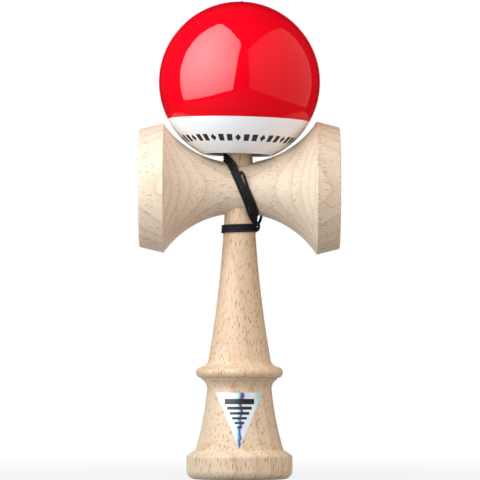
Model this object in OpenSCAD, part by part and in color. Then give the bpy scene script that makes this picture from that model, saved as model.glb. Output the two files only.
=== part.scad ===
// Kendama: a turned beech handle, a cross-piece with two cups, a drilled ball and the cord that ties them.
// The handle's axis is Z, the cups open along X, and the origin is the middle of the base's rim.

/* [Handle] */
// Gap between the spike's tip and the bead in the ball
spike_gap = 1.6; // [1:0.1:4]
// Radius of the base
base_r = 19.6; // [18.5:0.1:22]
// Height of the base
base_h = 10.8; // [9.5:0.1:11]
// Rounding of the base's lower edge
base_foot_round = 3.2; // [2:0.1:3.4]
// Rounding of the base's upper edge
base_shoulder_round = 1.2; // [0.6:0.1:1.6]
// Slope of the base's shoulder, in degrees
base_slope = 33; // [25:1:40]
// Width of the flat rim that the base stands on
base_rim = 1; // [0.8:0.1:3]
// Depth of the cup under the base
base_cup_depth = 7.5; // [5:0.1:9]
// Width of the base's ledge round the bell
base_ledge = 3.3; // [2.6:0.1:4]
// Radius of the bell under the ring
bell_top_r = 11.9; // [11:0.1:12.6]
// How far the bell's side curves in
bell_sag = 0.6; // [0.3:0.05:1]
// Radius of the ring
ring_r = 16.1; // [15.6:0.1:18]
// Thickness of the ring
ring_t = 4.1; // [3.5:0.1:4.6]
// Height of the ring's middle
ring_z = 39.35; // [38.5:0.1:41]
// Radius of the cove under the ring
lower_cove_r = 4; // [3:0.1:4.5]
// Radius of the cove above the ring
upper_cove_r = 3.3; // [2.8:0.1:4]
// Radius of the grip just above the ring
grip_foot_r = 11.4; // [11:0.1:12]
// Radius of the neck under the cross-piece
neck_r = 5.6; // [5.45:0.05:5.7]
// How far the grip's side curves in
grip_sag = 0.8; // [0.5:0.05:0.9]
// Radius of the spike's root, on top of the cross-piece
spike_root_r = 4.8; // [4.5:0.05:4.9]
// Radius of the spike's rounded tip
spike_tip_r = 2.4; // [1.8:0.1:2.8]

/* [Cross-piece] */
// Height of its middle above the base
cross_z = 107.6; // [107.5:0.05:107.8]
// From its middle to each cup's rim
cross_reach = 37.1; // [35.5:0.1:40]
// Radius of its waist
waist_r = 9.3; // [9.2:0.05:9.35]
// Radius of the saddle's curve
saddle_r = 34.4; // [34:0.1:36]
// Rim radius of the big cup
big_rim_r = 22.5; // [22:0.1:23.5]
// Radius of the ridge behind the big cup
big_ridge_r = 24.65; // [24:0.05:25.4]
// Mouth radius of the big cup
big_cup_r = 20.4; // [18:0.1:21]
// Depth of the big cup
big_cup_depth = 11; // [8:0.1:13]
// Rim radius of the small cup
small_rim_r = 21.8; // [21:0.1:22.5]
// Radius of the ridge behind the small cup
small_ridge_r = 23.9; // [23.2:0.05:24.6]
// Mouth radius of the small cup
small_cup_r = 19.7; // [17.5:0.1:20.2]
// Depth of the small cup
small_cup_depth = 10.5; // [8:0.1:12.5]
// Rounding of both rims
rim_round = 0.7; // [0.3:0.05:1]
// Width of the bevel round the spike, on top
socket_bevel = 0.9; // [0.4:0.1:1.4]
// Gap between the handle's taper and its socket
socket_clearance = 0.05; // [0.02:0.01:0.1]
// Radius of the hole that the cord comes out of
cord_hole_r = 0.8; // [0.7:0.05:1]
// Height of that hole's mouth above the middle
cord_hole_rise = 5.2; // [5.1:0.05:5.3]
// Sideways place of that hole
cord_hole_x = 0.45; // [0.35:0.05:0.55]

/* [Ball] */
// Radius of the ball
ball_r = 30; // [29.9:0.05:30.1]
// How far the ball leans on the saddle, in degrees
ball_lean = 1.3; // [0:0.1:1.5]
// Gap between the ball and the saddle
ball_seat_gap = 0.15; // [0.1:0.05:0.25]
// Radius of the spike hole, as a share of the ball's
hole_share = 0.375; // [0.37:0.001:0.38]
// Width of the bevel round the hole's mouth
mouth_bevel = 1.85; // [1.75:0.05:2]
// Wood left between the hole's end and the ball's top
roof_t = 8.5; // [8:0.1:9]
// Depth of the cone that ends the spike hole
hole_cone_h = 4; // [3:0.1:5]
// Radius of the hole for the cord
string_hole_r = 1.6; // [1.3:0.05:2]
// Radius of the bevel round the cord's hole
string_bevel_r = 5.5; // [5:0.1:5.8]

/* [Bead] */
// Radius of the bead in the ball
bead_r = 3; // [2.6:0.1:3.2]
// Radius of the bead's bore
bead_bore_r = 0.8; // [0.7:0.05:1]
// Gap between the bead and the hole's end
bead_gap = 0.2; // [0.1:0.05:0.4]
// Radius of the two knots
knot_r = 1; // [0.9:0.05:1.05]
// Length of the two knots
knot_h = 1.2; // [1:0.05:1.3]
// Gap round a knot in its pocket
knot_gap = 0.2; // [0.1:0.05:0.3]

/* [Cord] */
// Thickness of the cord
cord_d = 1; // [0.9:0.05:1.1]
// Thickness drawn for the wound stretch, whose turns stay apart
wound_d = 0.52; // [0.48:0.01:0.53]
// Distance between turns round the neck
turn_pitch = 1; // [0.99:0.01:1.02]
// Distance between loops that lie side by side on the waist
lane_pitch = 1.13; // [1.1:0.01:1.15]
// Distance between loops that lie one on another beside the handle
stack_pitch = 1.06; // [1.04:0.01:1.07]
// Height of the turns' middle line above the wood
turn_lift = 0.45; // [0.42:0.01:0.5]
// Loops round the cross-piece
waist_loops = 3; // [2:1:3]
// Turns round the neck
neck_turns = 3; // [2:1:3]
// Height where the turns round the neck begin
neck_turns_z = 90.9; // [90.7:0.05:91]

/* [Label] */
// Width of the label's upper edge, seen from the front
label_w = 17.5; // [12:0.5:20]
// Height of the label's upper edge
label_top_z = 32; // [28:0.5:33]
// Height of the label's lower corner
label_tip_z = 11.6; // [11:0.1:18]
// Thickness of the label
label_t = 0.15; // [0.1:0.01:0.3]

/* [Hidden] */
$fn = 96;
bow_fn = 960;
reach = 200;
label_gap = 0.02;

ring_foot_z = ring_z - ring_t / 2;
ring_top_z = ring_z + ring_t / 2;
ring_core_r = ring_r - ring_t / 2;
bell_top_z = ring_foot_z - lower_cove_r;
grip_foot_z = ring_top_z + upper_cove_r;

// Radius of the saddle's outline at a distance x from the middle
function waist_at(x) = waist_r + saddle_r - sqrt(pow(saddle_r, 2) - pow(x, 2));
// Distance from the middle at which the saddle's outline has a radius r
function ridge_x(r) = sqrt(pow(saddle_r, 2) - pow(saddle_r + waist_r - r, 2));

// The handle's taper starts under the waist and ends above it
taper_margin = 1.8;
neck_z = cross_z - waist_r - taper_margin;
spike_root_z = cross_z + waist_r + taper_margin;
function taper_r(z) = neck_r + (spike_root_r - neck_r) * (z - neck_z) / (spike_root_z - neck_z);

// The ball's edge lies on the saddle, and the leaning ball stands a little higher
hole_r = ball_r * hole_share;
mouth_r = hole_r + mouth_bevel;
ball_flat = sqrt(pow(ball_r, 2) - pow(mouth_r, 2));
ball_z = cross_z + waist_at(mouth_r) + mouth_r * sin(ball_lean) + ball_seat_gap + ball_flat;
hole_end_z = ball_r - roof_t;
string_bevel_z = sqrt(pow(ball_r, 2) - pow(string_bevel_r, 2));

// The bead rests under the cone that ends the hole
cone_run = hole_r - string_hole_r;
cone_angle = atan(hole_cone_h / cone_run);
cone_apex_z = hole_end_z + string_hole_r * tan(cone_angle);
bead_z = cone_apex_z - (bead_r + bead_gap) / cos(cone_angle);
bead_knot_z = bead_z - bead_r + knot_gap;
pocket_r = knot_r + knot_gap;
handle_h = ball_z + bead_z - bead_r - spike_gap;

// The cord's hole runs square to the waist
cord_hole_angle = asin(cord_hole_rise / waist_r);
cord_hole_dir = [0, -cos(cord_hole_angle), sin(cord_hole_angle)];
stop_knot_from = (taper_r(cross_z) + knot_gap + knot_r * sin(cord_hole_angle)) / cos(cord_hole_angle);
stop_knot_to = stop_knot_from + knot_h;

function unit(v) = v / norm(v);
function mix(a, b, t) = a + (b - a) * t;
function clamp01(t) = min(1, max(0, t));
function ease(t) = let (s = clamp01(t)) s * s * (3 - 2 * s);

// Circle through two points of an outline that bows towards the axis by sag: [centre, radius]
function bow(a, b, sag) =
    let (
        chord = b - a,
        half = norm(chord) / 2,
        r = (half * half + sag * sag) / (2 * sag),
        out = unit([chord[1], -chord[0]])
    )
    [(a + b) / 2 + out * (r - sag), r];

base_cup_r = base_r - base_foot_round - base_rim;
bell_foot = [base_r - base_ledge, base_h];
bell_top = [bell_top_r, bell_top_z];
grip_foot = [grip_foot_r, grip_foot_z];
grip_top = [neck_r, neck_z];
grip_bow = bow(grip_foot, grip_top, grip_sag);
// Radius of the grip at a height z
function grip_at(z) = grip_bow[0][0] - sqrt(pow(grip_bow[1], 2) - pow(z - grip_bow[0][1], 2));

// Outline between two heights whose side bows inwards, moved out by grow
module bowed_outline(a, b, sag, grow = 0) {
    arc = bow(a, b, sag);
    out = [grow, 0];
    difference() {
        polygon([[0, a[1]], a + out, b + out, [0, b[1]]]);
        translate(arc[0] + out) circle(r = arc[1], $fn = bow_fn);
    }
}

// Outline of a disc with rounded lower and upper edges
module rounded_disc_outline(r, h, low, high) {
    polygon([[0, 0], [r - low, 0], [r, low], [r, h - high], [r - high, h], [0, h]]);
    translate([r - low, low]) circle(r = low);
    translate([r - high, h - high]) circle(r = high);
}

// Outline of the base: its lower edge rounded, its shoulder sloping down from the bell to a softened edge
module base_outline() {
    low = base_foot_round;
    high = base_shoulder_round;
    slope_out = [sin(base_slope), cos(base_slope)];
    drop = (high + sin(base_slope) * (base_ledge - high)) / cos(base_slope);
    edge = [base_r - high, base_h - drop];
    polygon([
        [0, 0], [base_r - low, 0], [base_r, low], [base_r, edge[1]], edge + high * slope_out, bell_foot, [0, base_h]
    ]);
    translate([base_r - low, low]) circle(r = low);
    translate(edge) circle(r = high);
}

// Outline of the ring between its two coves
module ring_outline() {
    translate([ring_core_r, ring_z]) circle(d = ring_t);
    translate([0, ring_foot_z]) square([ring_core_r, ring_t]);
    difference() {
        translate([0, bell_top_z]) square([ring_core_r, lower_cove_r]);
        translate([bell_top_r + lower_cove_r, bell_top_z]) circle(r = lower_cove_r);
    }
    difference() {
        translate([0, ring_top_z]) square([ring_core_r, upper_cove_r]);
        translate([grip_foot_r + upper_cove_r, grip_foot_z]) circle(r = upper_cove_r);
    }
}

// Outline of the taper and the spike
module spike_outline() {
    tip_z = handle_h - spike_tip_r;
    polygon([
        [0, neck_z], [neck_r, neck_z], [spike_root_r, spike_root_z], [spike_tip_r, tip_z], [0, tip_z]
    ]);
    intersection() {
        translate([0, tip_z]) circle(r = spike_tip_r);
        translate([0, tip_z]) square(spike_tip_r);
    }
}

// Ball-shaped hollow with its mouth at the origin, opening along -Z
module dish(mouth, depth) {
    r = (mouth * mouth + depth * depth) / (2 * depth);
    translate([0, 0, depth - r]) sphere(r = r);
}

module handle() {
    color("burlywood")
        difference() {
            rotate_extrude() {
                base_outline();
                bowed_outline(bell_foot, bell_top, bell_sag);
                ring_outline();
                bowed_outline(grip_foot, grip_top, grip_sag);
                spike_outline();
            }
            dish(base_cup_r, base_cup_depth);
        }
}

// Three points of one cup's outline: the middle of the rim's rounding, where the rounding meets the side, and
// the side's other end, which runs on past the ridge into the saddle's curve
function cup_side(rim, ridge) =
    let (
        run_on = 4,
        slope = (ridge - rim) / (cross_reach - ridge_x(ridge)),
        tilt = sqrt(1 + slope * slope),
        middle = [rim + slope * rim_round - rim_round * tilt, cross_reach - rim_round]
    )
    [middle, middle + rim_round * [1, slope] / tilt, [ridge + slope * run_on, ridge_x(ridge) - run_on]];

big_side = cup_side(big_rim_r, big_ridge_r);
small_side = [for (p = cup_side(small_rim_r, small_ridge_r)) [p[0], -p[1]]];
module cross_outline() {
    difference() {
        polygon([
            [0, cross_reach], [big_side[0][0], cross_reach], big_side[1], big_side[2],
            small_side[2], small_side[1], [small_side[0][0], -cross_reach], [0, -cross_reach]
        ]);
        translate([waist_r + saddle_r, 0]) circle(r = saddle_r, $fn = bow_fn);
    }
}

// The turned body. Each rim's rounding stands a hair proud of the faces it joins, so that it crosses them.
rim_proud = 0.005;
module cross_body() {
    rotate_extrude() cross_outline();
    for (p = [big_side[0], small_side[0]])
        rotate_extrude() translate(p) circle(r = rim_round + rim_proud);
}

// Everything drilled along the cord's hole is turned to it here, with +Z pointing out of the waist
module along_cord_hole() {
    translate([cord_hole_x, 0, cross_z]) rotate([90 - cord_hole_angle, 0, 0]) children();
}

// The tapered socket that sits on the handle, and the bevel round the spike
module socket() {
    low_z = neck_z;
    high_z = spike_root_z;
    translate([0, 0, low_z])
        cylinder(
            h = high_z - low_z,
            r1 = taper_r(low_z) + socket_clearance,
            r2 = taper_r(high_z) + socket_clearance
        );
    bevel_z = cross_z + waist_r - socket_bevel - taper_r(cross_z + waist_r);
    translate([0, 0, bevel_z]) cylinder(h = high_z - bevel_z, r1 = 0, r2 = high_z - bevel_z);
}

module cross_piece() {
    color("wheat")
        difference() {
            translate([0, 0, cross_z]) rotate([0, 90, 0]) cross_body();
            translate([cross_reach, 0, cross_z]) rotate([0, -90, 0]) dish(big_cup_r, big_cup_depth);
            translate([-cross_reach, 0, cross_z]) rotate([0, 90, 0]) dish(small_cup_r, small_cup_depth);
            socket();
            along_cord_hole() {
                cylinder(h = 2 * waist_r, r = cord_hole_r);
                cylinder(h = stop_knot_to, r = pocket_r);
            }
        }
}

// What belongs to the ball is placed from its middle, with its lean
module in_ball() {
    translate([0, 0, ball_z]) rotate([0, ball_lean, 0]) children();
}

// Outline of everything drilled out along the ball's axis, which runs out past both ends
module drilled_outline() {
    past = 2;
    mouth_z = -ball_flat;
    bevel_foot_z = string_bevel_z - string_bevel_r + string_hole_r;
    polygon([
        [0, mouth_z - past], [mouth_r + past, mouth_z - past], [hole_r, mouth_z + mouth_bevel],
        [hole_r, hole_end_z - hole_cone_h], [string_hole_r, hole_end_z], [string_hole_r, bevel_foot_z],
        [string_bevel_r + past, string_bevel_z + past], [0, string_bevel_z + past]
    ]);
}

module ball() {
    color("crimson")
        in_ball()
            difference() {
                sphere(r = ball_r);
                translate([0, 0, -reach - ball_flat]) cylinder(h = reach, r = ball_r);
                rotate_extrude() drilled_outline();
            }
}

module bead() {
    color("ivory")
        in_ball()
            difference() {
                translate([0, 0, bead_z]) sphere(r = bead_r);
                translate([0, 0, bead_z - bead_r]) cylinder(h = 2 * bead_r, r = bead_bore_r);
                translate([0, 0, bead_z - bead_r]) cylinder(h = knot_h + 2 * knot_gap, r = pocket_r);
            }
}

// A tight round knot standing on the origin
module knot() {
    knot_round = knot_h / 4;
    rotate_extrude() rounded_disc_outline(knot_r, knot_h, knot_round, knot_round);
}

module stop_knot() {
    color("black") along_cord_hole() translate([0, 0, stop_knot_from]) knot();
}

module bead_knot() {
    color("black") in_ball() translate([0, 0, bead_knot_z]) knot();
}

// One stop on a loop round the waist. turn is the angle travelled from the front, downwards, and lane is the
// place in the row of strands, which lie side by side in front and behind and one on another beside the handle.
lane_middle = 1.5;
front_x = 1.3;
loop_swing = 4.2;
spike_hug = 2.7;
neck_hug = 0.8;
hug_power = 12;
stack_power = 8;
function loop_point(turn, lane) =
    let (
        up = -sin(turn),
        pile = 90 * pow(abs(up), stack_power),
        piled = (up > 0 ? lane : waist_loops - lane) * stack_pitch * sin(pile),
        hug = (up > 0 ? -spike_hug : neck_hug) * pow(abs(up), hug_power),
        x = front_x - loop_swing * up + hug + (lane - lane_middle) * lane_pitch * cos(pile),
        r = waist_at(x) + turn_lift + piled
    )
    [x, -r * cos(turn), cross_z + r * up];

// The lane falls by one behind the cross-piece, on each loop
lane_change = [120, 240];
function lane_at(turn) =
    let (done = floor(turn / 360), part = turn - 360 * done)
    waist_loops - done - ease((part - lane_change[0]) / (lane_change[1] - lane_change[0]));

loop_step = 15;
last_lane_angle = 75;
loops = [
    for (turn = [0 : loop_step : 360 * waist_loops + last_lane_angle]) loop_point(turn, lane_at(turn))
];

// Turns round the neck, from behind, each one turn_pitch above the last
neck_start = 90;
function neck_point(turn) =
    let (z = neck_turns_z + turn_pitch * turn / 360, r = grip_at(z) + turn_lift)
    [r * cos(turn), r * sin(turn), z];
turns = [for (turn = [neck_start : loop_step : 360 * neck_turns]) neck_point(turn)];

// From the knot out of the hole and over into the first loop, in a bend of two diameters
hole_middle = [cord_hole_x, 0, cross_z];
entry_from = hole_middle + cord_hole_dir * stop_knot_to;
entry_mouth = hole_middle + cord_hole_dir * waist_r;
entry_bend_r = 2 * cord_d;
entry_turn = 132;
entry_step = 22;
entry_run = loops[0] - entry_mouth;
entry_side = unit(entry_run - cord_hole_dir * (entry_run * cord_hole_dir));
entry = concat(
    [entry_from, mix(entry_from, entry_mouth, 0.5)],
    [
        for (turn = [0 : entry_step : entry_turn])
            entry_mouth + entry_bend_r * (sin(turn) * cord_hole_dir + (1 - cos(turn)) * entry_side)
    ]
);

// Last run down past the turns, to their start behind the neck
descent = [
    [6.7, -2.2, 94.7], [7.2, -0.5, 93.8], [7.05, 1.6, 92.6], [6.1, 3.9, 91.8], [4.3, 5.6, 91.1], [2.1, 6.4, 91]
];
// From the last turn up behind the cross-piece
leaving = [
    [6.9, 1.6, 94.3], [7.6, 3.2, 95.6], [8.2, 5.2, 97.8], [8, 8, 100.5], [6.9, 10, 104], [5.6, 10.6, 107],
    [5.1, 11, 107.8]
];
// Where the wound stretch ends and the riser begins
riser_start = [5, 11.6, 108.7];
riser_first = [4.9, 12.2, 109.6];
// Up behind the ball in even steps, over the bevel and down its hole to the bead
riser_gap = 0.8;
over_from = -33;
over_to = 72;
over_step = 15;
over_side = [4, 1];
function over_ball(rise) =
    let (side = mix(over_side[0], over_side[1], (rise - over_from) / (over_to - over_from)))
    [side, (ball_r + riser_gap) * cos(rise), ball_z + (ball_r + riser_gap) * sin(rise)];
over = [for (rise = [over_from : over_step : over_to]) over_ball(rise)];
ball_top = [0, 0, ball_z + ball_r];
into_hole = [
    [0.9, 5.4, 0.1], [0.8, 3.5, 0], [0.7, 1.6, -1.1], [0.7, 0.5, -2.9], [0.7, 0.1, -4.9], [0.6, 0, -6.9]
];
riser = concat(
    [riser_start, riser_first],
    [for (t = [1 / 3, 2 / 3]) mix(riser_first, over[0], t)],
    over,
    [for (p = into_hole) ball_top + p]
);

// A smooth curve through points, in equal steps between each two
function smooth(p, steps) = concat(
    [
        for (i = [0 : len(p) - 2], s = [0 : steps - 1])
            let (
                a = p[max(0, i - 1)], b = p[i], c = p[i + 1], d = p[min(len(p) - 1, i + 2)], t = s / steps
            )
            0.5 * (2 * b + (c - a) * t + (2 * a - 5 * b + 4 * c - d) * t * t + (3 * b - a - 3 * c + d) * t * t * t)
    ],
    [p[len(p) - 1]]
);

wound_route = concat(entry, loops, descent, turns, leaving, [riser_start]);

// A tube of flat-sided section along a route, closed at both ends
module tube(route, d, sides) {
    n = len(route);
    along = [for (i = [0 : n - 1]) unit(route[min(n - 1, i + 1)] - route[max(0, i - 1)])];
    first = unit(cross(along[0], abs(along[0][0]) < 0.9 ? [1, 0, 0] : [0, 1, 0]));
    side = [for (i = 0, s = first; i < n; i = i + 1, s = i < n ? unit(s - along[i] * (s * along[i])) : s) s];
    points = [
        for (i = [0 : n - 1], k = [0 : sides - 1])
            route[i] + d / 2 * (cos(360 * k / sides) * side[i] + sin(360 * k / sides) * cross(along[i], side[i]))
    ];
    walls = [
        for (i = [0 : n - 2], k = [0 : sides - 1])
            let (a = i * sides + k, b = i * sides + (k + 1) % sides)
            each [[a, a + sides, b], [b, a + sides, b + sides]]
    ];
    last = (n - 1) * sides;
    ends = [for (k = [1 : sides - 2]) each [[0, k, k + 1], [last, last + k + 1, last + k]]];
    polyhedron(points = points, faces = concat(walls, ends));
}

// Least distance between a point and a stretch from a to b
function to_stretch(p, a, b) = norm(p - mix(a, b, clamp01((p - a) * (b - a) / ((b - a) * (b - a)))));

module cord_winding() {
    apart = 6;
    n = len(wound_route);
    least_gap = min([
        for (i = [0 : n - 1], j = [i + apart : 1 : n - 2])
            to_stretch(wound_route[i], wound_route[j], wound_route[j + 1])
    ]) - wound_d;
    echo(least_gap = least_gap);
    color("black") tube(wound_route, wound_d, 6);
}

module cord_riser() {
    bead_end = [0, 0, bead_knot_z + knot_h];
    lean = [[cos(ball_lean), 0, sin(ball_lean)], [0, 1, 0], [-sin(ball_lean), 0, cos(ball_lean)]];
    below = [0, 0, bead_z + bead_r];
    ends = [for (p = [below, bead_end]) [0, 0, ball_z] + lean * p];
    color("black") tube(concat(smooth(riser, 2), ends), cord_d, 8);
}

module label() {
    color("lightsteelblue")
        intersection() {
            difference() {
                rotate_extrude() bowed_outline(bell_foot, bell_top, bell_sag, label_gap + label_t);
                rotate_extrude() bowed_outline(bell_foot, bell_top, bell_sag, label_gap);
            }
            rotate([90, 0, 0])
                linear_extrude(height = base_r)
                    polygon([[-label_w / 2, label_top_z], [label_w / 2, label_top_z], [0, label_tip_z]]);
        }
}

handle();
cross_piece();
ball();
bead();
stop_knot();
bead_knot();
cord_winding();
cord_riser();
label();
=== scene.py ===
import math

import bpy
from mathutils import Matrix, Quaternion, Vector


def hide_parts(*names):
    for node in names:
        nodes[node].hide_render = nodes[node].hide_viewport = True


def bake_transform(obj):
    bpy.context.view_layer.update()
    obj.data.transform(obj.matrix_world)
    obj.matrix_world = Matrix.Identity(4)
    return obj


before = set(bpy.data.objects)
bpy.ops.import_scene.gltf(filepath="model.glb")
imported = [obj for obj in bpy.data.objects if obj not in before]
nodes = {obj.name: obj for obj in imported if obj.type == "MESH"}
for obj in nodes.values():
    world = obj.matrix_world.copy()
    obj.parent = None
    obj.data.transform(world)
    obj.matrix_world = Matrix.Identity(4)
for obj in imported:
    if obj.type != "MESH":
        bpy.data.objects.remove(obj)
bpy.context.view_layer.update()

scene = bpy.context.scene
MM = 0.001


# Sizes that the cord follows, in millimetres and degrees, as in the part's source

CROSS_Z = 107.6
WAIST_R = 9.3
SADDLE_R = 34.4
CORD_HOLE_X = 0.45
CORD_HOLE_RISE = 5.2
NECK_R = 5.6
SPIKE_ROOT_R = 4.8
TAPER_MARGIN = 1.8
NECK_Z = CROSS_Z - WAIST_R - TAPER_MARGIN
SPIKE_ROOT_Z = CROSS_Z + WAIST_R + TAPER_MARGIN
GRIP_FOOT = Vector((11.4, 44.7))
GRIP_SAG = 0.8
KNOT_R = 1.0
KNOT_H = 1.2
KNOT_GAP = 0.2
BEAD_R = 3.0
BALL_R = 30.0
BALL_LEAN = math.radians(1.3)
BALL_CENTRE = Vector((0, 0, 146.93))
BEAD_Z = 18.71
TURN_PITCH = 1.0
LANE_PITCH = 1.13
STACK_PITCH = 1.06
TURN_LIFT = 0.45
WAIST_LOOPS = 3
NECK_TURNS = 3
NECK_TURNS_Z = 90.9
NECK_START = 90
LOOP_STEP = 15
LANE_MIDDLE = 1.5
LANE_CHANGE_FROM = 120
LANE_CHANGE_TO = 240
LAST_LANE_ANGLE = 75
FRONT_X = 1.3
LOOP_SWING = 4.2
SPIKE_HUG = 2.7
NECK_HUG = 0.8
HUG_POWER = 12
STACK_POWER = 8
ENTRY_BEND_R = 2.0
ENTRY_TURN = 132
ENTRY_STEP = 22
RISER_GAP = 0.8
OVER_FROM = -33
OVER_TO = 72
OVER_STEP = 15
OVER_SIDE_FROM = 4
OVER_SIDE_TO = 1

# Stops of the cord from the last loop down to the neck, and from the neck up behind the waist

DESCENT = [
    (6.7, -2.2, 94.7), (7.2, -0.5, 93.8), (7.05, 1.6, 92.6),
    (6.1, 3.9, 91.8), (4.3, 5.6, 91.1), (2.1, 6.4, 91),
]
LEAVING = [
    (6.9, 1.6, 94.3), (7.6, 3.2, 95.6), (8.2, 5.2, 97.8), (8, 8, 100.5),
    (6.9, 10, 104), (5.6, 10.6, 107), (5.1, 11, 107.8),
]
RISER_START = (5, 11.6, 108.7)
RISER_FIRST = (4.9, 12.2, 109.6)

# Stops of the cord over the bevel of the ball's top hole, from the top of the ball

INTO_HOLE = [
    (0.9, 5.4, 0.1), (0.8, 3.5, 0), (0.7, 1.6, -1.1),
    (0.7, 0.5, -2.9), (0.7, 0.1, -4.9), (0.6, 0, -6.9),
]

# The cord as a tube

CORD_D = 1.02
CORD_SIDES = 10
CORD_STEPS = 2


# Detail of the soft noises that several materials have

SOFT_DETAIL = 2.0

# Beech, with lengths in millimetres

ALONG_Z = (0, math.radians(90), 0)
ALONG_X = (0, 0, 0)
BEECH_SPECULAR = 0.22
WANDER_STRETCH = (0.02, 0.07, 0.07)
WANDER = 2.4
FIBRE_STRETCH = (0.05, 3.2, 3.2)
FIBRE_DETAIL = 3.0
FIBRE_SHADE = 0.32
CLOUD_STRETCH = (0.015, 0.09, 0.09)
CLOUD_SHADE = 0.24
LEAST_SHADE = 0.72
RING_ENDS = 0.05
RING_STOPS = ((0.5, 0.2), (0.8, 0.5), (0.89, 1.0), (0.95, 0.35))
FLECK_SIZE = 0.2
FLECK_SIZE_SPREAD = 0.16
FLECK_OUTER = 1.2
FLECK_INNER = 0.8
FLECK_DARK = 0.4
FLECK_DARK_SPREAD = 0.6
FLECK_SINK = 0.4
FIBRE_RISE = 0.5
BEECH_ROUGH = 0.38
BEECH_ROUGH_SPREAD = 0.2
BEECH_BUMP = 0.05
BEECH_BUMP_STRENGTH = 0.5

HANDLE_HEART = (0, -41.6, 41.5)
HANDLE_FOOT_PALE = (0.81, 0.66, 0.485, 1)
HANDLE_FOOT_FROM = 10.0
HANDLE_FOOT_TO = 60.0
HANDLE_GRAIN = {
    "Pale": (0.74, 0.56, 0.38, 1), "Late": (0.69, 0.49, 0.31, 1), "Ring Width": 5.0,
    "Fleck Length": 3.6, "Fleck Width": 0.58, "Fleck Share": 1.0, "Fleck Depth": 0.85,
}
CROSS_HEART = (0, -60, -CROSS_Z)
CROSS_GRAIN = {
    "Pale": (0.8, 0.665, 0.515, 1), "Late": (0.7, 0.53, 0.375, 1),
    "Fleck Length": 9.0, "Fleck Width": 0.55, "Fleck Share": 0.6, "Fleck Depth": 0.65,
}
BEAD_HEART = (0, 20, 5)
BEAD_GRAIN = {"Fleck Share": 0.3}

# Lacquer, with heights from the ball's middle; the marks' widths are shares of their pitch

LACQUER_SPECULAR = 0.3
LACQUER_RED = (0.8, 0.002, 0.012, 1)
LACQUER_WHITE = (0.97, 0.98, 1, 1)
LACQUER_BLACK = (0.012, 0.012, 0.013, 1)
RED_FOOT_Z = -14.3
RED_SOFT = 0.05
MARK_COUNT = 42
MARK_Z = -21.7
BLOCK_HALF_W = 0.32
BLOCK_HALF_H = 1.15
BLOCK_SOFT_W = 0.02
BLOCK_SOFT_H = 0.06
LOZENGE_HALF_W = 0.36
LOZENGE_HALF_H = 1.2
LOZENGE_SOFT = 0.05
LOZENGE_EVERY = 3
LOZENGE_FROM = 0.2
LOZENGE_TO = 0.5
LACQUER_DEPTH = 0.6
BARE_TOP_Z = 22.0
BARE_HEART = (-10, 45, 8)
# The bare wood in and under the ball's hole is beech darkened to near black: painted shade.
SHADED_BARE_GRAIN = {"Pale": (0.16, 0.1, 0.06, 1), "Late": (0.12, 0.075, 0.045, 1)}
PEEL_SCALE = 0.35
GLOSS = 0.03
GLOSS_SPREAD = 0.05
RED_RISE = 0.8
MARK_RISE = 0.4
PEEL_RISE = 0.06
LACQUER_BUMP = 0.03
LACQUER_BUMP_STRENGTH = 0.6

# Foil, with the bars' middles, half widths and half heights in millimetres

FOIL_SPECULAR = 0.3
FOIL_METALLIC = 0.12
FOIL_ROUGH = 0.3
FOIL_ROUGH_SPREAD = 0.2
FOIL_CLOUD_SCALE = 0.3
FOIL_CLOUD_SHIFT = 2.6
FOIL_SLANT = -0.06
FOIL_HALF_W = 9.0
# The foil's silver, rainbow tints and dark violet streak are the real foil's look, fixed colours by place:
# painted reflection.
FOIL_REFLECTION_ENDS = ((0.68, 0.62, 0.7, 1), (0.8, 0.74, 0.88, 1))
FOIL_REFLECTION_STOPS = (
    (0.3, (0.66, 0.69, 0.73, 1)), (0.45, (0.6, 0.73, 0.76, 1)), (0.485, (0.22, 0.55, 0.6, 1)),
    (0.51, (0.08, 0.1, 0.28, 1)), (0.535, (0.1, 0.07, 0.24, 1)), (0.565, (0.68, 0.76, 0.85, 1)),
    (0.75, (0.82, 0.89, 0.93, 1)), (0.9, (0.45, 0.68, 0.71, 1)),
)
BARS = (
    (28.7, 5.4, 1.0), (26.3, 4.5, 0.55), (24.4, 3.6, 0.5),
    (22.6, 2.7, 0.45), (20.9, 1.8, 0.4), (19.3, 0.9, 0.35),
)
BAR_SOFT = 0.06
BAR_INK = (0.015, 0.015, 0.018, 1)
BAR_RISE = 0.2
CRINKLE_SCALE = 0.8
FOIL_BUMP = 0.03
FOIL_BUMP_STRENGTH = 0.4

# Yarn

YARN_SPECULAR = 0.2
# The yarn's two blacks are a shaded and a lit copy: painted shade in the braid's hollows.
YARN_SHADED = (0.003, 0.003, 0.004, 1)
YARN_LIT = (0.013, 0.012, 0.014, 1)
FUZZ_SCALE = 9.0
FUZZ_DETAIL = 3.0
FUZZ_LIGHT = 0.6
FUZZ_LIGHT_SPREAD = 0.8
FUZZ_RISE = 0.35
YARN_ROUGH = 0.5
YARN_ROUGH_SPREAD = 0.3
YARN_BUMP = 0.12
YARN_BUMP_STRENGTH = 0.7
BRAID_STRANDS = 4
BRAID_PITCH = 1.1


# Camera and studio, in metres

SENSOR_WIDTH = 36
LENS = 285
CLIP_START = 0.05
CAMERA_AT = Vector((0.0002, -1.407, 0.042))
CAMERA_AIM = Vector((0.0002, 0, 0.0884))

FLOOR_HALF = 3.0
FLOOR_BOUNCE = (0.35, 0.35, 0.35, 1)
SHADOW_NEAR = 0.06
SHADOW_FAR = 0.3
SHADOW_WHITE = 0.86

WHITE = (1, 1, 1, 1)
WORLD_FILL = (0.74, 0.71, 0.69, 1)

CARD_GREY = (0.1, 0.1, 0.1, 1)
CARD_SIDE = 1.1
CARD_FRONT = -1.7
CARD_BACK = 1.8
CARD_TOP = 2.0
BACKDROP_HALF = 0.5
BACKDROP_TOP = 0.7
FLOOR_CARD_NEAR = -0.09
FLOOR_CARD_BESIDE = 0.12
FLOOR_CARD_FLARE = 0.25
FLOOR_CARD_LIFT = 0.001

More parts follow.
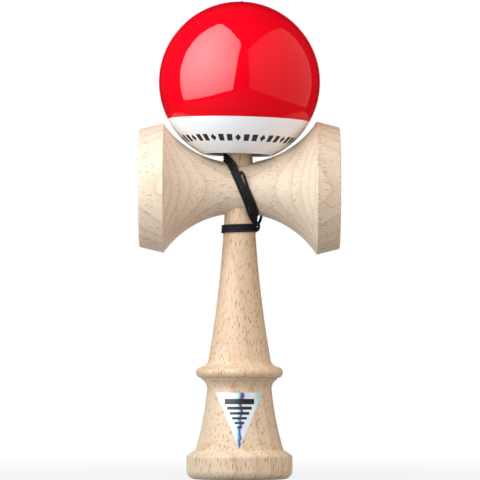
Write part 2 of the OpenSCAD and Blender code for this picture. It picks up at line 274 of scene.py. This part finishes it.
PANEL_MIDDLE = (0.5, 0.55, 0)
PANEL_SPREAD = 0.6
KEY_AWAY = 0.45
KEY_CORNERS = [(-0.95, -0.01, -0.31), (-0.15, -0.96, -0.24), (0.04, -0.64, 0.77), (-0.31, 0.03, 0.95)]
KEY_COLOUR = (0.97, 1, 1.05, 1)
KEY_STRENGTH = 3.9
KEY_EDGE = 0.4
KEY_MIRRORED = 3.6
FILL_CORNERS = [(0.16, -0.64, 0.01), (0.42, 0.26, 0.01), (0.42, 0.26, 0.7), (0.16, -0.64, 0.7)]
FILL_COLOUR = (1, 0.9, 0.82, 1)
FILL_STRENGTH = 1.5
FILL_EDGE = 0.7
FILL_MIRRORED = 0.6


# The cord's route

def degrees_sin(angle):
    return math.sin(math.radians(angle))


def degrees_cos(angle):
    return math.cos(math.radians(angle))


def waist_at(x):
    """Radius of the cross-piece's waist at a distance x from its middle."""
    return WAIST_R + SADDLE_R - math.sqrt(SADDLE_R ** 2 - x ** 2)


def taper_r(z):
    """Radius of the handle's taper at a height z."""
    return NECK_R + (SPIKE_ROOT_R - NECK_R) * (z - NECK_Z) / (SPIKE_ROOT_Z - NECK_Z)


def ease(t):
    """A soft step from 0 to 1."""
    s = min(1.0, max(0.0, t))
    return s * s * (3 - 2 * s)


def loop_point(turn, lane):
    """One stop on a loop round the waist, turn degrees from the front, in a lane of the row of strands."""
    up = -degrees_sin(turn)
    pile = 90 * abs(up) ** STACK_POWER
    piled = (lane if up > 0 else WAIST_LOOPS - lane) * STACK_PITCH * degrees_sin(pile)
    hug = (-SPIKE_HUG if up > 0 else NECK_HUG) * abs(up) ** HUG_POWER
    x = FRONT_X - LOOP_SWING * up + hug + (lane - LANE_MIDDLE) * LANE_PITCH * degrees_cos(pile)
    r = waist_at(x) + TURN_LIFT + piled
    return Vector((x, -r * degrees_cos(turn), CROSS_Z + r * up))


def lane_at(turn):
    """The lane falls by one behind the cross-piece, on each loop."""
    done = turn // 360
    change = (turn - 360 * done - LANE_CHANGE_FROM) / (LANE_CHANGE_TO - LANE_CHANGE_FROM)
    return WAIST_LOOPS - done - ease(change)


def waist_loops():
    turns = range(0, 360 * WAIST_LOOPS + LAST_LANE_ANGLE + 1, LOOP_STEP)
    return [loop_point(turn, lane_at(turn)) for turn in turns]


def grip_radius():
    """Radius of the grip as a function of height: an arc that bows in by the sag."""
    top = Vector((NECK_R, NECK_Z))
    chord = top - GRIP_FOOT
    half = chord.length / 2
    bow_r = (half ** 2 + GRIP_SAG ** 2) / (2 * GRIP_SAG)
    out = Vector((chord.y, -chord.x)).normalized()
    middle = (top + GRIP_FOOT) / 2 + out * (bow_r - GRIP_SAG)
    return lambda z: middle.x - math.sqrt(bow_r ** 2 - (z - middle.y) ** 2)


def neck_turns():
    grip_at = grip_radius()
    stops = []
    for turn in range(NECK_START, 360 * NECK_TURNS + 1, LOOP_STEP):
        z = NECK_TURNS_Z + TURN_PITCH * turn / 360
        r = grip_at(z) + TURN_LIFT
        stops.append(Vector((r * degrees_cos(turn), r * degrees_sin(turn), z)))
    return stops


def entry(first):
    """From the stop knot out of the cord's hole and over towards the first loop, and the hole's mouth."""
    slope = math.asin(CORD_HOLE_RISE / WAIST_R)
    out = Vector((0, -math.cos(slope), math.sin(slope)))
    middle = Vector((CORD_HOLE_X, 0, CROSS_Z))
    knot_end = (taper_r(CROSS_Z) + KNOT_GAP + KNOT_R * math.sin(slope)) / math.cos(slope) + KNOT_H
    start = middle + out * knot_end
    mouth = middle + out * WAIST_R
    run = first - mouth
    side = (run - out * run.dot(out)).normalized()
    bend = [
        mouth + ENTRY_BEND_R * (degrees_sin(turn) * out + (1 - degrees_cos(turn)) * side)
        for turn in range(0, ENTRY_TURN + 1, ENTRY_STEP)
    ]
    return [start, (start + mouth) / 2] + bend, mouth


def over_ball(rise):
    """One stop behind the ball, rise degrees above its middle."""
    far = BALL_R + RISER_GAP
    share = (rise - OVER_FROM) / (OVER_TO - OVER_FROM)
    side = OVER_SIDE_FROM + (OVER_SIDE_TO - OVER_SIDE_FROM) * share
    return Vector((side, far * degrees_cos(rise), BALL_CENTRE.z + far * degrees_sin(rise)))


def riser():
    """Up behind the ball, over its top bevel and down the hole to the bead."""
    first = Vector(RISER_FIRST)
    over = [over_ball(rise) for rise in range(OVER_FROM, OVER_TO + 1, OVER_STEP)]
    rising = [first.lerp(over[0], t) for t in (1 / 3, 2 / 3)]
    top = BALL_CENTRE + Vector((0, 0, BALL_R))
    lean = Matrix.Rotation(BALL_LEAN, 3, "Y")
    bead_ends = [
        BALL_CENTRE + lean @ Vector((0, 0, z))
        for z in (BEAD_Z + BEAD_R, BEAD_Z - BEAD_R + KNOT_GAP + KNOT_H)
    ]
    return [Vector(RISER_START), first] + rising + over + [top + Vector(p) for p in INTO_HOLE] + bead_ends


def cord_route():
    """The whole cord from the stop knot to the bead's knot, and the mouth of the hole that it leaves by."""
    loops = waist_loops()
    coming_out, mouth = entry(loops[0])
    descent = [Vector(p) for p in DESCENT]
    leaving = [Vector(p) for p in LEAVING]
    return coming_out + loops + descent + neck_turns() + leaving + riser(), mouth


def smooth(points, steps):
    """A smooth curve through points, in equal steps between each two."""
    out = []
    last = len(points) - 1
    for i in range(last):
        a, b, c, d = points[max(0, i - 1)], points[i], points[i + 1], points[min(last, i + 2)]
        for s in range(steps):
            t = s / steps
            bend = (2 * a - 5 * b + 4 * c - d) * t ** 2 + (3 * b - a - 3 * c + d) * t ** 3
            out.append(0.5 * (2 * b + (c - a) * t + bend))
    return out + [points[last]]


def new_piece(name, verts, faces):
    """A mesh object, linked to the scene."""
    mesh = bpy.data.meshes.new(name)
    mesh.from_pydata(verts, [], faces)
    piece = bpy.data.objects.new(name, mesh)
    scene.collection.objects.link(piece)
    return piece


def cord_mesh(name, points, radius, sides):
    """A closed tube along points, with the braid's coordinates: once round, and millimetres along."""
    count = len(points)
    along = [(points[min(count - 1, i + 1)] - points[max(0, i - 1)]).normalized() for i in range(count)]
    side = along[0].orthogonal().normalized()
    verts = []
    travel = [0.0]
    for i in range(count):
        if i:
            side = (along[i - 1].rotation_difference(along[i]) @ side).normalized()
            travel.append(travel[-1] + (points[i] - points[i - 1]).length)
        for k in range(sides):
            verts.append(points[i] + radius * (Quaternion(along[i], 2 * math.pi * k / sides) @ side))
    faces = []
    corners = []
    for i in range(count - 1):
        near = i * sides
        far = near + sides
        for k in range(sides):
            n = (k + 1) % sides
            faces.append((near + k, near + n, far + n, far + k))
            corners.append(((k, i), (k + 1, i), (k + 1, i + 1), (k, i + 1)))
    last = (count - 1) * sides
    faces.append(tuple(reversed(range(sides))))
    corners.append(tuple((k, 0) for k in reversed(range(sides))))
    faces.append(tuple(range(last, last + sides)))
    corners.append(tuple((k, count - 1) for k in range(sides)))
    piece = new_piece(name, [v[:] for v in verts], faces)
    braid = piece.data.uv_layers.new(name="braid")
    for face, marks in zip(piece.data.polygons, corners):
        face.use_smooth = True
        for loop, (k, i) in zip(face.loop_indices, marks):
            braid.data[loop].uv = (k / sides, travel[i] / MM)
    return piece


# Shader building

def give(tree, socket, value):
    """Set a socket to a value, or link it to another node's output."""
    if isinstance(value, bpy.types.NodeSocket):
        tree.links.new(value, socket)
    else:
        socket.default_value = value


def add(tree, kind, inputs=(), **settings):
    """A new node with its settings, and inputs that are values or other nodes' outputs."""
    node = tree.nodes.new(kind)
    for key, value in settings.items():
        setattr(node, key, value)
    for key, value in dict(inputs).items():
        give(tree, node.inputs[key], value)
    return node


def calc(tree, operation, *values):
    """The output of a Math node."""
    return add(tree, "ShaderNodeMath", enumerate(values), operation=operation).outputs[0]


def vector_calc(tree, operation, *values):
    """The output of a Vector Math node."""
    node = add(tree, "ShaderNodeVectorMath", enumerate(values), operation=operation)
    return node.outputs["Value" if operation == "LENGTH" else "Vector"]


def split(tree, vector):
    """The X, Y and Z of a vector."""
    return add(tree, "ShaderNodeSeparateXYZ", {"Vector": vector}).outputs


def noise(tree, place, scale, detail):
    """A soft noise between 0 and 1."""
    return add(tree, "ShaderNodeTexNoise", {"Vector": place, "Scale": scale, "Detail": detail}).outputs["Fac"]


def remap(tree, value, low, high, to_low=0.0, to_high=1.0):
    """A value moved from one span to another, and held at its ends."""
    spans = {"Value": value, "From Min": low, "From Max": high, "To Min": to_low, "To Max": to_high}
    return add(tree, "ShaderNodeMapRange", spans).outputs[0]


def between(tree, value, low, high, soft):
    """A mask that is 1 between two limits and falls to 0 over a soft edge."""
    rising = remap(tree, value, low - soft, low + soft)
    falling = remap(tree, value, high + soft, high - soft)
    return calc(tree, "MULTIPLY", rising, falling)


def within(tree, value, half, soft):
    """A mask that is 1 up to a distance on both sides of 0."""
    return between(tree, value, -half, half, soft)


def blend_value(tree, share, first, second):
    """The output of a Mix node for plain values."""
    return add(tree, "ShaderNodeMix", {0: share, 2: first, 3: second}, data_type="FLOAT").outputs[0]


def blend_colour(tree, share, first, second, mode="MIX"):
    """The output of a Mix node for colours."""
    inputs = {0: share, 6: first, 7: second}
    return add(tree, "ShaderNodeMix", inputs, data_type="RGBA", blend_type=mode).outputs[2]


def new_group(name, inputs):
    """A node group for a surface: the group, its input sockets and its three outputs."""
    group = bpy.data.node_groups.new(name, "ShaderNodeTree")
    for socket, kind, value in inputs:
        made = group.interface.new_socket(socket, in_out="INPUT", socket_type=kind)
        if value is not None:
            made.default_value = value
    for socket, kind in (("Color", "Color"), ("Roughness", "Float"), ("Height", "Float")):
        group.interface.new_socket(socket, in_out="OUTPUT", socket_type="NodeSocket" + kind)
    return group, group.nodes.new("NodeGroupInput").outputs, group.nodes.new("NodeGroupOutput").inputs


def place_group(tree, group, inputs):
    return add(tree, "ShaderNodeGroup", inputs, node_tree=group).outputs


def new_material(name, **fixed):
    """A material with one Principled shader, whose plain values are set on its own sockets."""
    material = bpy.data.materials.new(name)
    material.use_nodes = True
    tree = material.node_tree
    shader = tree.nodes["Principled BSDF"]
    for key, value in fixed.items():
        shader.inputs[key.replace("_", " ")].default_value = value
    return material, tree, shader


def empty_material(name):
    """A material with no nodes yet, for the studio."""
    material = bpy.data.materials.new(name)
    material.use_nodes = True
    material.node_tree.nodes.clear()
    return material, material.node_tree


def millimetres(tree):
    """The piece's own coordinates, in millimetres."""
    place = add(tree, "ShaderNodeTexCoord").outputs["Object"]
    return vector_calc(tree, "MULTIPLY", place, (1 / MM, 1 / MM, 1 / MM))


def surface(tree, shader, colour, roughness, height, distance, strength):
    """Give the shader its colour, its roughness and a bump that is some millimetres high."""
    give(tree, shader.inputs["Base Color"], colour)
    give(tree, shader.inputs["Roughness"], roughness)
    bump = add(tree, "ShaderNodeBump", {"Height": height, "Distance": distance * MM, "Strength": strength})
    give(tree, shader.inputs["Normal"], bump.outputs["Normal"])


# Beech: rings round the tree's heart, dark flecks and fine fibres along the grain

def beech_group():
    group, given, out = new_group(
        "beech grain",
        [
            ("Place", "NodeSocketVector", None),
            ("Pale", "NodeSocketColor", (0.8, 0.55, 0.34, 1)),
            ("Late", "NodeSocketColor", (0.68, 0.44, 0.26, 1)),
            ("Fleck", "NodeSocketColor", (0.32, 0.13, 0.045, 1)),
            ("Ring Width", "NodeSocketFloat", 3.0),
            ("Fleck Length", "NodeSocketFloat", 2.6),
            ("Fleck Width", "NodeSocketFloat", 0.8),
            ("Fleck Share", "NodeSocketFloat", 0.7),
            ("Fleck Depth", "NodeSocketFloat", 0.6),
        ],
    )
    place = given["Place"]

    def streaks(stretch, detail):
        return noise(group, vector_calc(group, "MULTIPLY", place, stretch), 1.0, detail)

    wander = calc(group, "MULTIPLY_ADD", streaks(WANDER_STRETCH, SOFT_DETAIL), WANDER, -WANDER / 2)
    across = vector_calc(group, "MULTIPLY", place, (0, 1, 1))
    ring = calc(group, "ADD", vector_calc(group, "LENGTH", across), wander)
    phase = calc(group, "FRACT", calc(group, "DIVIDE", ring, given["Ring Width"]))
    late = add(group, "ShaderNodeValToRGB", {"Fac": phase})
    for end in late.color_ramp.elements:
        end.color = (RING_ENDS, RING_ENDS, RING_ENDS, 1)
    for stop, share in RING_STOPS:
        late.color_ramp.elements.new(stop).color = (share, share, share, 1)

    width = given["Fleck Width"]
    cell = add(group, "ShaderNodeCombineXYZ", {0: given["Fleck Length"], 1: width, 2: width}).outputs[0]
    spot = vector_calc(group, "DIVIDE", place, cell)
    cells = add(group, "ShaderNodeTexVoronoi", {"Vector": spot, "Scale": 1.0}).outputs
    luck = add(group, "ShaderNodeSeparateColor", {"Color": cells["Color"]}).outputs
    chosen = calc(group, "LESS_THAN", luck["Red"], given["Fleck Share"])
    size = calc(group, "MULTIPLY_ADD", luck["Green"], FLECK_SIZE_SPREAD, FLECK_SIZE)
    dash = remap(group, calc(group, "DIVIDE", cells["Distance"], size), FLECK_OUTER, FLECK_INNER)
    fleck = calc(group, "MULTIPLY", chosen, dash)

    fibres = streaks(FIBRE_STRETCH, FIBRE_DETAIL)
    clouds = calc(group, "MULTIPLY", streaks(CLOUD_STRETCH, SOFT_DETAIL), CLOUD_SHADE)
    shade = calc(group, "ADD", calc(group, "MULTIPLY_ADD", fibres, FIBRE_SHADE, clouds), LEAST_SHADE)
    grey = add(group, "ShaderNodeCombineColor", {0: shade, 1: shade, 2: shade}).outputs[0]
    wood = blend_colour(group, late.outputs["Color"], given["Pale"], given["Late"])
    wood = blend_colour(group, 1.0, wood, grey, "MULTIPLY")
    depth = calc(group, "MULTIPLY_ADD", luck["Blue"], FLECK_DARK_SPREAD, FLECK_DARK)
    dark = calc(group, "MULTIPLY", given["Fleck Depth"], depth)
    wood = blend_colour(group, calc(group, "MULTIPLY", fleck, dark), wood, given["Fleck"])
    give(group, out["Color"], wood)
    give(group, out["Roughness"], calc(group, "MULTIPLY_ADD", fibres, BEECH_ROUGH_SPREAD, BEECH_ROUGH))
    raised = calc(group, "MULTIPLY", fibres, FIBRE_RISE)
    give(group, out["Height"], calc(group, "MULTIPLY_ADD", fleck, -FLECK_SINK, raised))
    return group


BEECH = beech_group()


def grain_place(tree, turned, heart):
    """Coordinates with X along the grain, measured from the tree's heart."""
    inputs = {"Vector": millimetres(tree), "Location": heart, "Rotation": turned}
    return add(tree, "ShaderNodeMapping", inputs, vector_type="POINT").outputs["Vector"]


def beech_material(name, turned, heart, grain, foot_pale=None):
    """Beech, with a second pale colour towards the foot if one is given."""
    material, tree, shader = new_material(name, Specular_IOR_Level=BEECH_SPECULAR)
    inputs = {"Place": grain_place(tree, turned, heart), **grain}
    if foot_pale:
        rise = remap(tree, split(tree, millimetres(tree))["Z"], HANDLE_FOOT_FROM, HANDLE_FOOT_TO)
        inputs["Pale"] = blend_colour(tree, rise, foot_pale, grain["Pale"])
    wood = place_group(tree, BEECH, inputs)
    surface(
        tree, shader, wood["Color"], wood["Roughness"], wood["Height"], BEECH_BUMP, BEECH_BUMP_STRENGTH,
    )
    return material


# Lacquer: red above, white below with a ring of plain marks, bare wood where the ball is drilled, darkened to
# near black as painted shade

def ring_of_marks(tree, axes):
    """A mask for a ring of blocks, every third of them a lozenge."""
    angle = calc(tree, "ARCTAN2", axes["Y"], axes["X"])
    cell = calc(tree, "DIVIDE", angle, 2 * math.pi / MARK_COUNT)
    offset = calc(tree, "ABSOLUTE", calc(tree, "SUBTRACT", calc(tree, "FRACT", cell), 0.5))
    rise = calc(tree, "ABSOLUTE", calc(tree, "SUBTRACT", axes["Z"], MARK_Z))
    wide = within(tree, offset, BLOCK_HALF_W, BLOCK_SOFT_W)
    block = calc(tree, "MULTIPLY", wide, within(tree, rise, BLOCK_HALF_H, BLOCK_SOFT_H))
    to_side = calc(tree, "DIVIDE", offset, LOZENGE_HALF_W)
    to_top = calc(tree, "DIVIDE", rise, LOZENGE_HALF_H)
    lozenge = within(tree, calc(tree, "ADD", to_side, to_top), 1.0, LOZENGE_SOFT)
    place_of_three = calc(tree, "FRACT", calc(tree, "DIVIDE", calc(tree, "FLOOR", cell), LOZENGE_EVERY))
    pointed = between(tree, place_of_three, LOZENGE_FROM, LOZENGE_TO, LOZENGE_SOFT)
    return blend_value(tree, pointed, block, lozenge)


def ball_material():
    material, tree, shader = new_material("ball_lacquer", Specular_IOR_Level=LACQUER_SPECULAR)
    upright = add(
        tree, "ShaderNodeVectorRotate",
        {"Vector": millimetres(tree), "Center": BALL_CENTRE, "Axis": (0, 1, 0), "Angle": -BALL_LEAN},
        rotation_type="AXIS_ANGLE",
    )
    spot = vector_calc(tree, "SUBTRACT", upright.outputs["Vector"], BALL_CENTRE)
    axes = split(tree, spot)
    red = between(tree, axes["Z"], RED_FOOT_Z, 2 * BALL_R, RED_SOFT)
    mark = ring_of_marks(tree, axes)
    # Where the ball is drilled and cut back below the paint, bare beech darkened to near black stands in for
    # the hole's shade: painted shade.
    below_skin = calc(tree, "LESS_THAN", vector_calc(tree, "LENGTH", spot), BALL_R - LACQUER_DEPTH)
    bare_in_shade = calc(tree, "MULTIPLY", below_skin, calc(tree, "LESS_THAN", axes["Z"], BARE_TOP_Z))

    wood = place_group(tree, BEECH, {"Place": grain_place(tree, ALONG_Z, BARE_HEART), **SHADED_BARE_GRAIN})
    paint = blend_colour(tree, red, LACQUER_WHITE, LACQUER_RED)
    paint = blend_colour(tree, mark, paint, LACQUER_BLACK)
    colour = blend_colour(tree, bare_in_shade, paint, wood["Color"])
    peel = noise(tree, spot, PEEL_SCALE, SOFT_DETAIL)
    gloss = calc(tree, "MULTIPLY_ADD", peel, GLOSS_SPREAD, GLOSS)
    rough = blend_value(tree, bare_in_shade, gloss, wood["Roughness"])
    layers = calc(tree, "MULTIPLY_ADD", red, RED_RISE, calc(tree, "MULTIPLY", mark, MARK_RISE))
    height = calc(tree, "MULTIPLY_ADD", peel, PEEL_RISE, layers)
    surface(tree, shader, colour, rough, height, LACQUER_BUMP, LACQUER_BUMP_STRENGTH)
    return material


# Foil: soft rainbow bands over silver, the real foil's tints fixed by place as painted reflection, with a
# generic mark of shrinking bars

def shrinking_bars(tree, axes):
    """A mask for a stack of bars that get narrower towards the tip."""
    ink = 0.0
    for middle, half_width, half_height in BARS:
        wide = within(tree, axes["X"], half_width, BAR_SOFT)
        high = between(tree, axes["Z"], middle - half_height, middle + half_height, BAR_SOFT)
        ink = calc(tree, "MAXIMUM", ink, calc(tree, "MULTIPLY", wide, high))
    return ink


def label_material():
    material, tree, shader = new_material("label_foil", Specular_IOR_Level=FOIL_SPECULAR)
    place = millimetres(tree)
    axes = split(tree, place)
    cloud = noise(tree, place, FOIL_CLOUD_SCALE, SOFT_DETAIL)
    slant = calc(tree, "MULTIPLY_ADD", axes["Z"], FOIL_SLANT, axes["X"])
    shift = calc(tree, "MULTIPLY_ADD", cloud, FOIL_CLOUD_SHIFT, slant)
    # Colours by place stand in for what the foil would mirror: painted reflection.
    painted_film = add(tree, "ShaderNodeValToRGB", {"Fac": remap(tree, shift, -FOIL_HALF_W, FOIL_HALF_W)})
    for end, colour in zip(painted_film.color_ramp.elements, FOIL_REFLECTION_ENDS):
        end.color = colour
    for stop, colour in FOIL_REFLECTION_STOPS:
        painted_film.color_ramp.elements.new(stop).color = colour

    ink = shrinking_bars(tree, axes)
    printed = blend_colour(tree, ink, painted_film.outputs["Color"], BAR_INK)
    give(tree, shader.inputs["Metallic"], calc(tree, "MULTIPLY_ADD", ink, -FOIL_METALLIC, FOIL_METALLIC))
    rough = calc(tree, "MULTIPLY_ADD", cloud, FOIL_ROUGH_SPREAD, FOIL_ROUGH)
    crinkle = noise(tree, place, CRINKLE_SCALE, SOFT_DETAIL)
    height = calc(tree, "MULTIPLY_ADD", ink, BAR_RISE, crinkle)
    surface(tree, shader, printed, rough, height, FOIL_BUMP, FOIL_BUMP_STRENGTH)
    return material


# Cord: black yarn, braided over the tube, plain on the knots, with painted shade in the braid's hollows

def yarn_group():
    group, given, out = new_group(
        "black yarn",
        [("Place", "NodeSocketVector", None), ("Strand", "NodeSocketFloat", 0.5)],
    )
    strand = given["Strand"]
    fuzz = noise(group, given["Place"], FUZZ_SCALE, FUZZ_DETAIL)
    light = calc(group, "MULTIPLY_ADD", fuzz, FUZZ_LIGHT_SPREAD, FUZZ_LIGHT)
    # Where the strand lies low, in the braid's hollows, the yarn gets the darker black: painted shade.
    lift = calc(group, "MULTIPLY", strand, light)
    give(group, out["Color"], blend_colour(group, lift, YARN_SHADED, YARN_LIT))
    give(group, out["Roughness"], calc(group, "MULTIPLY_ADD", fuzz, YARN_ROUGH_SPREAD, YARN_ROUGH))
    give(group, out["Height"], calc(group, "MULTIPLY_ADD", fuzz, FUZZ_RISE, strand))
    return group


YARN = yarn_group()


def braid_strands(tree):
    """How high the upper strand lies, from 0 to 1: two sets of strands that cross."""
    mark = split(tree, add(tree, "ShaderNodeUVMap", uv_map="braid").outputs[0])
    round_it = calc(tree, "MULTIPLY", mark["X"], BRAID_STRANDS * 2 * math.pi)
    along_it = calc(tree, "MULTIPLY", mark["Y"], 2 * math.pi / BRAID_PITCH)
    right = calc(tree, "SINE", calc(tree, "ADD", round_it, along_it))
    left = calc(tree, "SINE", calc(tree, "SUBTRACT", round_it, along_it))
    return calc(tree, "MULTIPLY_ADD", calc(tree, "MAXIMUM", right, left), 0.5, 0.5)


def cord_material(name, braided):
    material, tree, shader = new_material(name, Specular_IOR_Level=YARN_SPECULAR)
    inputs = {"Place": millimetres(tree)}
    if braided:
        inputs["Strand"] = braid_strands(tree)
    yarn = place_group(tree, YARN, inputs)
    surface(tree, shader, yarn["Color"], yarn["Roughness"], yarn["Height"], YARN_BUMP, YARN_BUMP_STRENGTH)
    return material


# Camera, at the photograph's height and distance

def make_camera():
    data = bpy.data.cameras.new("camera")
    data.sensor_width = SENSOR_WIDTH
    data.lens = LENS
    data.clip_start = CLIP_START
    camera = bpy.data.objects.new("camera", data)
    scene.collection.objects.link(camera)
    camera.location = CAMERA_AT
    camera.rotation_euler = (CAMERA_AIM - CAMERA_AT).to_track_quat("-Z", "Y").to_euler()
    scene.camera = camera


# Floor, dark cards, soft panels and fill light

def seen_directly(tree):
    """1 for what the camera, a mirror or a glass sees, 0 for what only lights."""
    path = add(tree, "ShaderNodeLightPath").outputs
    seen = calc(tree, "MAXIMUM", path["Is Camera Ray"], path["Is Glossy Ray"])
    return calc(tree, "MAXIMUM", seen, path["Is Transmission Ray"])


def make_floor():
    """A floor that is white where it is seen, and lets the object's shadow show near it."""
    half = FLOOR_HALF
    corners = [(-half, -half, 0), (half, -half, 0), (half, half, 0), (-half, half, 0)]
    floor = new_piece("floor", corners, [(0, 1, 2, 3)])
    material, tree = empty_material("floor_white")
    plain = add(tree, "ShaderNodeBsdfDiffuse", {"Color": FLOOR_BOUNCE}).outputs[0]
    white = add(tree, "ShaderNodeEmission", {"Strength": 1.0}).outputs[0]
    away = vector_calc(tree, "LENGTH", add(tree, "ShaderNodeTexCoord").outputs["Object"])
    whiteness = remap(tree, away, SHADOW_NEAR, SHADOW_FAR, SHADOW_WHITE, 1.0)
    share = calc(tree, "MULTIPLY", seen_directly(tree), whiteness)
    both = add(tree, "ShaderNodeMixShader", {0: share, 1: plain, 2: white}).outputs[0]
    add(tree, "ShaderNodeOutputMaterial", {"Surface": both})
    floor.data.materials.append(material)


def dark_cards(name, corners, faces, only_mirrored):
    """Dark cards that the camera doesn't see, and that may be there for mirrors alone."""
    cards = new_piece(name, corners, faces)
    cards.visible_camera = False
    cards.visible_diffuse = not only_mirrored
    cards.visible_shadow = not only_mirrored
    material, _, _ = new_material(name + "_cloth", Base_Color=CARD_GREY, Roughness=1.0)
    cards.data.materials.append(material)


def make_flags():
    """Cards in front, at both sides and above, round the white backdrop and on the floor out of the picture,
    so that the lacquer mirrors the two panels and little else."""
    side, front, back, top = CARD_SIDE, CARD_FRONT, CARD_BACK, CARD_TOP
    corners = [
        (-side, front, 0), (side, front, 0), (side, back, 0), (-side, back, 0),
        (-side, front, top), (side, front, top), (side, back, top), (-side, back, top),
    ]
    dark_cards("flags", corners, [(0, 1, 5, 4), (1, 2, 6, 5), (3, 0, 4, 7), (4, 5, 6, 7)], False)

    half, lintel = BACKDROP_HALF, BACKDROP_TOP
    corners = [
        (-side, back, 0), (-half, back, 0), (-half, back, lintel), (-side, back, top),
        (side, back, 0), (half, back, 0), (half, back, lintel), (side, back, top),
    ]
    dark_cards("backdrop_frame", corners, [(0, 1, 2, 3), (4, 5, 6, 7), (2, 6, 7, 3)], True)

    near, beside, flare, lift = FLOOR_CARD_NEAR, FLOOR_CARD_BESIDE, FLOOR_CARD_FLARE, FLOOR_CARD_LIFT
    corners = [
        (-side, front, lift), (side, front, lift), (side, near, lift), (-side, near, lift),
        (-beside, near, lift), (-flare, back, lift), (-side, back, lift),
        (beside, near, lift), (flare, back, lift), (side, back, lift),
    ]
    dark_cards("floor_card", corners, [(0, 1, 2, 3), (3, 4, 5, 6), (2, 7, 8, 9)], True)


def make_world():
    world = bpy.data.worlds.new("studio")
    scene.world = world
    world.use_nodes = True
    tree = world.node_tree
    tree.nodes.clear()
    colour = blend_colour(tree, seen_directly(tree), WORLD_FILL, WHITE)
    light = add(tree, "ShaderNodeBackground", {"Color": colour, "Strength": 1.0}).outputs[0]
    add(tree, "ShaderNodeOutputWorld", {"Surface": light})


def panel(name, corners, colour, strength, edge, mirrored):
    """A soft light panel that the camera doesn't see, with factors for its edge and for mirrors."""
    piece = new_piece(name, corners, [(0, 1, 2, 3)])
    spread = piece.data.uv_layers.new(name="spread")
    for loop, mark in zip(piece.data.polygons[0].loop_indices, ((0, 0), (1, 0), (1, 1), (0, 1))):
        spread.data[loop].uv = mark
    piece.visible_camera = False
    piece.visible_shadow = False
    material, tree = empty_material(name)
    mark = add(tree, "ShaderNodeUVMap", uv_map="spread").outputs[0]
    away = vector_calc(tree, "LENGTH", vector_calc(tree, "SUBTRACT", mark, PANEL_MIDDLE))
    glow = remap(tree, away, 0.0, PANEL_SPREAD, strength, strength * edge)
    in_mirror = add(tree, "ShaderNodeLightPath").outputs["Is Glossy Ray"]
    factor = calc(tree, "MULTIPLY_ADD", in_mirror, mirrored - 1, 1.0)
    shown = {"Color": colour, "Strength": calc(tree, "MULTIPLY", glow, factor)}
    light = add(tree, "ShaderNodeEmission", shown).outputs[0]
    add(tree, "ShaderNodeOutputMaterial", {"Surface": light})
    piece.data.materials.append(material)


def make_lights():
    key = [BALL_CENTRE * MM + KEY_AWAY * Vector(corner) for corner in KEY_CORNERS]
    panel("key_panel", key, KEY_COLOUR, KEY_STRENGTH, KEY_EDGE, KEY_MIRRORED)
    panel("fill_panel", FILL_CORNERS, FILL_COLOUR, FILL_STRENGTH, FILL_EDGE, FILL_MIRRORED)


# The pieces

make_camera()

points, mouth = cord_route()
line = [p * MM for p in smooth(points, CORD_STEPS)]
cord = cord_mesh("cord", line, CORD_D / 2 * MM, CORD_SIDES)
cord.data.materials.append(cord_material("cord_braid", True))
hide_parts("cord_winding", "cord_riser")
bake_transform(cord)

knot_yarn = cord_material("knot_yarn", False)
finishes = {
    "handle": beech_material("handle_beech", ALONG_Z, HANDLE_HEART, HANDLE_GRAIN, HANDLE_FOOT_PALE),
    "cross_piece": beech_material("cross_beech", ALONG_X, CROSS_HEART, CROSS_GRAIN),
    "ball": ball_material(),
    "bead": beech_material("bead_beech", ALONG_Z, BEAD_HEART, BEAD_GRAIN),
    "label": label_material(),
    "stop_knot": knot_yarn,
    "bead_knot": knot_yarn,
}
for name, finish in finishes.items():
    mesh = nodes[name].data
    mesh.materials.clear()
    mesh.materials.append(finish)

make_floor()
make_flags()
make_world()
make_lights()
scene.view_settings.view_transform = "Standard"
